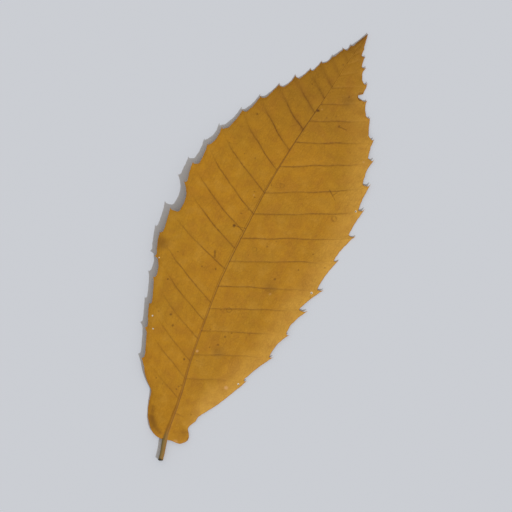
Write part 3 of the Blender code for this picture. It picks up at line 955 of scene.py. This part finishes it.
class LeafShader(Shader):
    """The finish of the whole leaf, read from its attributes and its vein map.

    Each mask goes from 0 to 1. Its limits are millimetres on the leaf or heights of a noise, and
    the number that it is multiplied by last is its strength.
    """

    def __init__(self, colours):
        super().__init__("dry leaf")
        self.colours = colours
        place = self.node("ShaderNodeTexCoord", {}, {}, "Object")
        shift = shift_to_frame() * MM
        place = self.vector("SUBTRACT", {0: place, 1: shift})
        place = self.vector("SCALE", {0: place, "Scale": 1.0 / MM})
        self.place = self.vector("MULTIPLY", {0: place, 1: (1.0, 1.0, 0.0)})
        self.y = self.node("ShaderNodeSeparateXYZ", {}, {0: self.place}, "Y")
        self.net = self.node("ShaderNodeUVMap", {"uv_map": "net"}, {})
        self.upper = self.attribute("upper")
        self.vein = self.attribute("vein")
        self.edge = self.attribute("edge")
        self.across = self.attribute("across")
        self.mid = self.across.size()
        self.stem = self.attribute("stem")
        self.waver = self.noise(self.place, 0.8, 3.0) - 0.5
        self.mottle = self.noise(self.place, 0.35, 4.0, 0.6)

    def colour(self, name):
        return opaque(getattr(self.colours, name))

    def layered(self, colour, *layers):
        """Lay the leaf's colours over a colour, each by its mask."""
        for mask, name in layers:
            colour = self.blend(mask, colour, self.colour(name))
        return colour

    def blade_colour(self):
        """Broad changes of colour over the upper face, with painted shade towards the tip and
        painted light on the lower right margin.
        """
        large = self.noise(self.place, 0.045, 3.0)
        cloud = self.noise(self.place, 0.17, 3.0)
        # Painted shade: the blade darkens towards the tip, where it slopes down away from the
        # light; the right half is also a little darker.
        tip_shade = self.ramp(self.y + (large - 0.5) * 30.0, 112.0, 160.0)
        right = self.ramp(self.across, 0.0, 3.0) * 0.18
        # Painted light: the lower right margin is paler where it faces the light and light shows
        # through the thin blade.
        margin = self.fall(self.edge, 0.5, 11.0) * self.ramp(self.across, 4.0, 10.0)
        margin = margin * self.fall(self.y, 120.0, 175.0) * self.ramp(self.y, 11.0, 20.0)
        light = self.ramp(cloud, 0.5, 0.68) * self.fall(self.y, 100.0, 145.0)
        return self.layered(
            self.colour("ochre"),
            (self.ramp(large, 0.35, 0.7) * 0.45, "olive"),
            (right.larger(tip_shade * 0.85), "umber"),
            (margin * 0.9, "golden"),
            (self.ramp(self.y, 166.0, 179.0) * 0.35, "vein"),
            (self.fall(cloud, 0.36, 0.52) * 0.2, "rim"),
            (light * 0.22, "golden"),
            ((1.0 - self.ramp(self.mottle, 0.3, 0.75)) * 0.16, "vein"))

    def side_veins(self):
        """How dark the side veins' lines are, a little darker in painted shade on the left half,
        with a band of painted shadow beside them in the upper left and soft painted shade round
        each.
        """
        line = self.fall(self.vein + self.waver * 0.5, 0.04, 0.36)
        fade = self.ramp(self.edge, 1.5, 9.0) * self.fall(self.y, 142.0, 170.0)
        fade = fade * (self.ramp(self.y, 30.0, 90.0) * 0.35 + 0.65)
        uneven = self.ramp(self.noise(self.place, 0.1, 2.0), 0.36, 0.6)
        broken = self.ramp(self.mottle, 0.3, 0.65) * 0.35 + uneven * 0.5 + 0.35
        left = self.fall(self.across, -1.0, 1.0)
        # Painted shadow of the raised veins in the upper left, and soft painted shade round each
        # line.
        shadow = self.fall(self.vein, 0.2, 1.4) * self.ramp(self.y, 115.0, 150.0) * left
        soft = self.fall(self.vein + self.waver * 0.8, 0.1, 0.9) * fade
        return line * fade * broken * (0.8 + left * 0.1) + shadow * 0.3 + soft * 0.16

    def web(self, cells, thin, thick, randomness=1.0):
        """Lines between random cells on the vein map: so many for each millimetre each way."""
        place = self.vector("MULTIPLY", {0: self.net, 1: (*cells, 1.0)})
        lines = self.cells(place, 1.0, "DISTANCE_TO_EDGE", "Distance", randomness)
        return self.fall(lines, thin, thick)

    def distance(self, place):
        """Distance to a place on the leaf, in millimetres."""
        return self.vector("DISTANCE", {0: self.place, 1: (*place, 0.0)}, "Value")

    def near(self, place):
        """The same, a little uneven."""
        return self.distance(place) + self.waver * 1.2

    def marks(self, places, inner, outer):
        """Some round marks, full up to inner radii from their middles and gone at outer radii."""
        return strongest(self.fall(self.near(place), radius * inner, radius * outer) * strength
                         for place, radius, strength in places)

    def rings(self):
        """Broken rings, each with its radius."""
        return self.ramp(self.mottle, 0.25, 0.6) * strongest(
            self.fall((self.near(place) - radius).size(), 0.05, 0.4) * strength
            for place, radius, strength in RINGS)

    def pinhole_light(self):
        """Painted light: a pale rim round each pinhole for the bright floor seen through it."""
        return strongest(self.fall(self.distance(place), radius, radius * 2.4)
                         for place, radius in PINHOLES)

    def stroke(self, start, end, half_width):
        """A line from one end to the other."""
        run = Vector(end) - Vector(start)
        offset = self.vector("SUBTRACT", {0: self.place, 1: (*start, 0.0)})
        share = self.vector("DOT_PRODUCT", {0: offset, 1: (*(run / run.length_squared), 0.0)},
                            "Value")
        share = self.node("ShaderNodeClamp", {}, {"Value": share})
        nearest = self.vector("SCALE", {0: (*run, 0.0), "Scale": share})
        distance = self.vector("DISTANCE", {0: offset, 1: nearest}, "Value")
        return self.fall(distance + self.waver * 0.4, 0.0, half_width * 2.2)

    def strokes(self, rows):
        return strongest(self.stroke(start, end, half_width) * strength
                         for start, end, half_width, strength in rows)

    def midrib_band(self):
        """The midrib's brown band, which thins out into the blade's own colour."""
        width = self.ramp(self.y, 10.0, 45.0, 0.85, 0.36, "LINEAR")
        return self.fall(self.mid / width, 0.6, 1.1) * self.fall(self.y, 40.0, 85.0)

    def midrib_shade_lines(self):
        """The two lines of painted shade along the midrib, the right one darker, which meet towards
        the tip.
        """
        half = self.ramp(self.y, 100.0, 140.0, 0.34, 0.0, "LINEAR")
        waver = self.waver * 0.2
        left = self.fall((self.across + half + waver).size(), 0.04, 0.24)
        left = left * self.ramp(self.y, 50.0, 80.0) * 0.25
        right = self.fall((self.across - half + waver).size(), 0.06, 0.3)
        right = right * (self.ramp(self.y, 40.0, 90.0) * 0.2 + 0.52)
        return left.larger(right) * self.fall(self.y, 138.0, 162.0)

    def dark_net(self, colour, lines, fine):
        """The net of fine veins and the flecks laid over a colour."""
        patchy = self.ramp(self.noise(self.place, 0.12, 2.0), 0.3, 0.7)
        flecks = self.noise(self.place, 1.3, 2.0)
        dark = self.ramp(flecks, 0.55, 0.75) * 0.14
        lines = lines * self.ramp(self.y, 25.0, 45.0)
        faint = lines * (patchy * 0.1) + fine * (0.05 + patchy * 0.06) + dark
        return self.layered(
            colour,
            (faint, "vein"),
            (self.fall(flecks, 0.25, 0.42) * 0.16, "golden"))

    def pepper(self):
        """Small random specks: one in some of the cells."""
        near = self.cells(self.place, 0.28, "F1", "Distance")
        chance = self.node("ShaderNodeSeparateColor", {}, {
            0: self.cells(self.place, 0.28, "F1", "Color")}, "Red")
        return self.fall(near, 0.05, 0.12) * self.ramp(chance, 0.4, 0.75)

    def upper_colour(self, lines, fine):
        dark = self.marks(SPOTS, 0.1, 1.3).larger(self.rings()).larger(self.strokes(STROKES))
        return self.layered(
            self.dark_net(self.blade_colour(), lines, fine),
            (self.marks(PATCHES, 0.1, 1.3), "vein"),
            (self.marks(PALE_SPOTS, 0.2, 1.2), "pale"),
            (self.side_veins() * 0.55, "vein"),
            (self.midrib_band() * 0.5, "midrib"),
            (self.midrib_shade_lines(), "vein"),
            (self.strokes(LOBE_CRESCENT), "vein"),
            (dark.larger(self.pepper() * 0.45) * 0.85, "spot"),
            (self.pinhole_light(), "hole_light"))

    def under_colour(self, lines, fine):
        """The duller underside, with its raised veins."""
        large = self.ramp(self.noise(self.place, 0.06, 4.0), 0.3, 0.7)
        colour = self.layered(self.colour("straw"), (large * 0.4, "ochre"))
        rib = self.fall(self.vein, 0.2, 0.5) * self.ramp(self.edge, 0.5, 3.0)
        rib = rib.larger(self.fall(self.mid, 0.3, 1.0))
        return self.layered(
            self.dark_net(colour, lines, fine),
            (rib * 0.8, "under_vein"),
            (self.marks(SPOTS, 0.1, 1.2) * 0.4, "spot"))

    def stem_colour(self):
        """Bark with fine streaks, greener on its left, and the dark cut end."""
        streaks = self.vector("MULTIPLY", {0: self.place, 1: (3.0, 0.35, 1.0)})
        return self.layered(
            self.colour("stem"),
            (self.fall(self.across, -0.7, 0.1) * 0.8, "stem_green"),
            (self.ramp(self.noise(streaks, 1.0, 4.0), 0.45, 0.75) * 0.35, "midrib"),
            (self.ramp(self.across, 0.2, 0.8) * 0.5, "midrib"),
            (self.fall(self.y + self.waver, 0.5, 1.2), "stem_end"))

    def build(self):
        lines = self.web((0.42, 0.2), 0.01, 0.07, 0.9)
        fine = self.web((1.15, 1.05), 0.02, 0.2)
        colour = self.blend(self.upper, self.under_colour(lines, fine),
                            self.upper_colour(lines, fine))
        rim = self.fall(self.edge + self.waver * 0.25, 0.1, 0.3)
        colour = self.layered(colour, (rim * 0.5, "rim"))
        colour = self.blend(self.stem, colour, self.stem_colour())
        self.feed("Base Color", colour)
        grain = self.noise(self.place, 6.0, 3.0)
        self.feed("Roughness", 0.56 + grain * 0.16)
        relief = self.noise(self.place, 1.2, 4.0) * 0.6 + grain * 0.25
        relief = relief - lines * 0.35 - fine * 0.3
        bump = self.node("ShaderNodeBump", {}, {
            "Height": relief, "Strength": 0.5, "Distance": 0.12 * MM}, "Normal")
        self.feed("Normal", bump)
        self.feed("Specular IOR Level", 0.15)
        return self.material


def leaf_material(context):
    return LeafShader(context.scene.chestnut_colours).build()


def floor_material(context):
    shader = Shader("pale floor")
    shader.feed("Base Color", opaque(context.scene.chestnut_colours.floor))
    shader.feed("Roughness", 0.9)
    shader.feed("Specular IOR Level", 0.0)
    return shader.material


class CHESTNUT_OT_leaf(bpy.types.Operator):
    """Model the leaf: its toothed blade, veins and stem in one body"""

    bl_idname = "chestnut.leaf"
    bl_label = "Build Leaf"

    def execute(self, context):
        sizes = plain_sizes(context)
        leaf = add_object("leaf_fine", blade_mesh(leaf_halves(), sizes))
        unite(leaf, stem_mesh())
        leaf.data.transform(Matrix.Translation(shift_to_frame() * MM))
        leaf.data.materials.clear()
        leaf.data.materials.append(leaf_material(context))
        leaf.data.shade_smooth()
        leaf.data.set_sharp_from_angle(angle=math.radians(60.0))
        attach(leaf, "root")
        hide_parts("leaf")
        return {"FINISHED"}


def make_floor(context):
    bm = bmesh.new()
    bmesh.ops.create_grid(bm, x_segments=1, y_segments=1, size=FLOOR_HALF)
    bmesh.ops.translate(bm, verts=bm.verts[:], vec=(0.0, 0.0, -FLOOR_GAP))
    floor = add_object("floor", finished(bm, "floor"))
    floor.data.materials.append(floor_material(context))


def make_lights(context):
    settings = context.scene.chestnut_stage
    towards = Vector((math.cos(settings.sun_azimuth) * math.cos(settings.sun_elevation),
                      math.sin(settings.sun_azimuth) * math.cos(settings.sun_elevation),
                      math.sin(settings.sun_elevation)))
    sun = bpy.data.lights.new("sun", "SUN")
    sun.energy = settings.sun_strength
    sun.angle = settings.sun_softness
    sun.color = SUN_COLOUR
    lamp = add_object("sun", sun)
    lamp.rotation_euler = towards.to_track_quat("Z", "Y").to_euler()
    world = bpy.data.worlds.new("studio")
    world.use_nodes = True
    sky = world.node_tree.nodes["Background"]
    sky.inputs["Color"].default_value = SKY_COLOUR
    sky.inputs["Strength"].default_value = settings.fill_strength
    context.scene.world = world


def make_camera(context):
    lens = bpy.data.cameras.new("camera")
    lens.sensor_width = SENSOR_WIDTH
    lens.lens = CAMERA_HEIGHT * SENSOR_WIDTH / (VIEW_WIDTH * MM)
    lens.clip_start, lens.clip_end = 0.01, 10.0
    camera = add_object("camera", lens)
    shift = shift_to_frame()
    camera.location = ((VIEW_CENTRE[0] + shift.x) * MM, (VIEW_CENTRE[1] + shift.y) * MM,
                       CAMERA_HEIGHT)
    camera.rotation_euler = (0.0, 0.0, VIEW_TURN)
    context.scene.camera = camera


class CHESTNUT_OT_stage(bpy.types.Operator):
    """Make the plain floor, the soft light and the camera that looks straight down"""

    bl_idname = "chestnut.stage"
    bl_label = "Build Stage"

    def execute(self, context):
        make_floor(context)
        make_lights(context)
        make_camera(context)
        context.scene.view_settings.view_transform = "Standard"
        return {"FINISHED"}


class CHESTNUT_PT_panel(bpy.types.Panel):
    """Lists the leaf's sizes and colours and the buttons that build it"""

    bl_idname = "CHESTNUT_PT_panel"
    bl_label = "Sweet Chestnut Leaf"
    bl_space_type = "VIEW_3D"
    bl_region_type = "UI"
    bl_category = "Leaf"

    def draw(self, context):
        layout = self.layout
        for group in (context.scene.chestnut_sizes, context.scene.chestnut_colours,
                      context.scene.chestnut_stage):
            box = layout.box()
            for name in type(group).__annotations__:
                box.prop(group, name)
        layout.operator(CHESTNUT_OT_leaf.bl_idname)
        layout.operator(CHESTNUT_OT_stage.bl_idname)


CLASSES = (LeafSizes, LeafColours, StageSettings, CHESTNUT_OT_leaf, CHESTNUT_OT_stage,
           CHESTNUT_PT_panel)


def register():
    for entry in CLASSES:
        bpy.utils.register_class(entry)
    bpy.types.Scene.chestnut_sizes = PointerProperty(type=LeafSizes)
    bpy.types.Scene.chestnut_colours = PointerProperty(type=LeafColours)
    bpy.types.Scene.chestnut_stage = PointerProperty(type=StageSettings)


def unregister():
    del bpy.types.Scene.chestnut_stage
    del bpy.types.Scene.chestnut_colours
    del bpy.types.Scene.chestnut_sizes
    for entry in reversed(CLASSES):
        bpy.utils.unregister_class(entry)


def main():
    register()
    bpy.ops.chestnut.leaf()
    bpy.ops.chestnut.stage()


if __name__ == "__main__":
    main()
